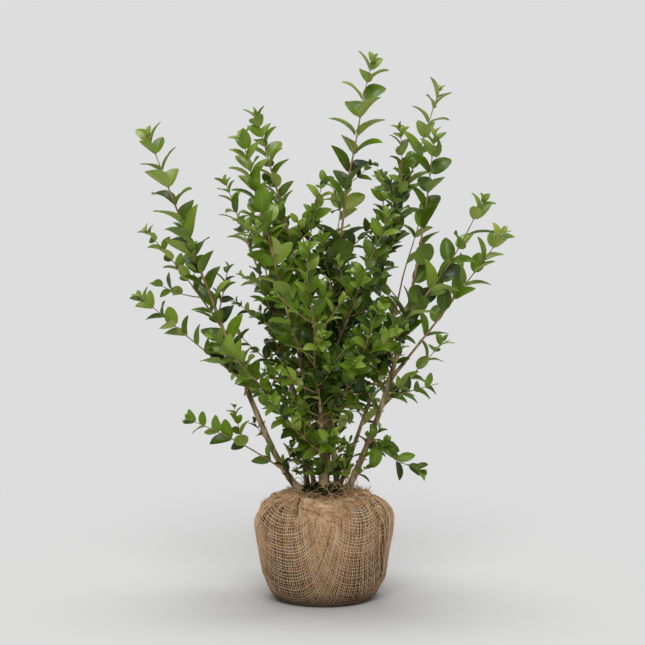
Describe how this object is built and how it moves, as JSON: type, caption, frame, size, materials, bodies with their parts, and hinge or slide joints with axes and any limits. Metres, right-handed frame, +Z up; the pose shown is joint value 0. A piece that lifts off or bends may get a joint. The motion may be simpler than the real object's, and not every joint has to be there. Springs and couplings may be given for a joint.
{
  "type": "privet shrub",
  "caption": "Bushy evergreen privet shrub with bare branching stems and opposite glossy leaves, standing on a root ball wrapped in open-weave hessian.",
  "frame": {"origin": "middle of the root ball's flat underside", "axes": "+Z up; -Y towards the viewer of the picture; +X to that viewer's right"},
  "size_m": [0.6908, 0.583, 0.9862],
  "materials": {
    "hessian": "coarse undyed jute weave, matt",
    "bark": "smooth grey-brown bark, matt",
    "leaves": "leathery green leaves with a soft gloss"
  },
  "bodies": {
    "root": {"root_ball": "hessian", "stem_left_tall": "bark", "stem_inner_left": "bark", "stem_front_left_low": "bark", "stem_middle_left": "bark", "stem_front_left": "bark", "stem_front_right": "bark", "stem_front": "bark", "stem_tallest": "bark", "stem_right_tall": "bark", "stem_front_right_low": "bark", "stem_right_upright": "bark", "stem_far_right": "bark", "stem_back_right": "bark", "stem_back": "bark", "stem_back_left": "bark", "foliage_left_tall": "leaves", "foliage_low_left": "leaves", "foliage_inner_left": "leaves", "foliage_front_left_low": "leaves", "foliage_middle_left": "leaves", "foliage_front_left": "leaves", "foliage_front_right": "leaves", "foliage_front": "leaves", "foliage_front_low": "leaves", "foliage_tallest": "leaves", "foliage_right_tall": "leaves", "foliage_right_arching": "leaves", "foliage_front_right_low": "leaves", "foliage_right_upright": "leaves", "foliage_far_right": "leaves", "foliage_low_right": "leaves", "foliage_lowest_right": "leaves", "foliage_back_right": "leaves", "foliage_back_right_low": "leaves", "foliage_back": "leaves", "foliage_back_low": "leaves", "foliage_back_left": "leaves", "foliage_back_left_low": "leaves"}
  },
  "joints": []
}
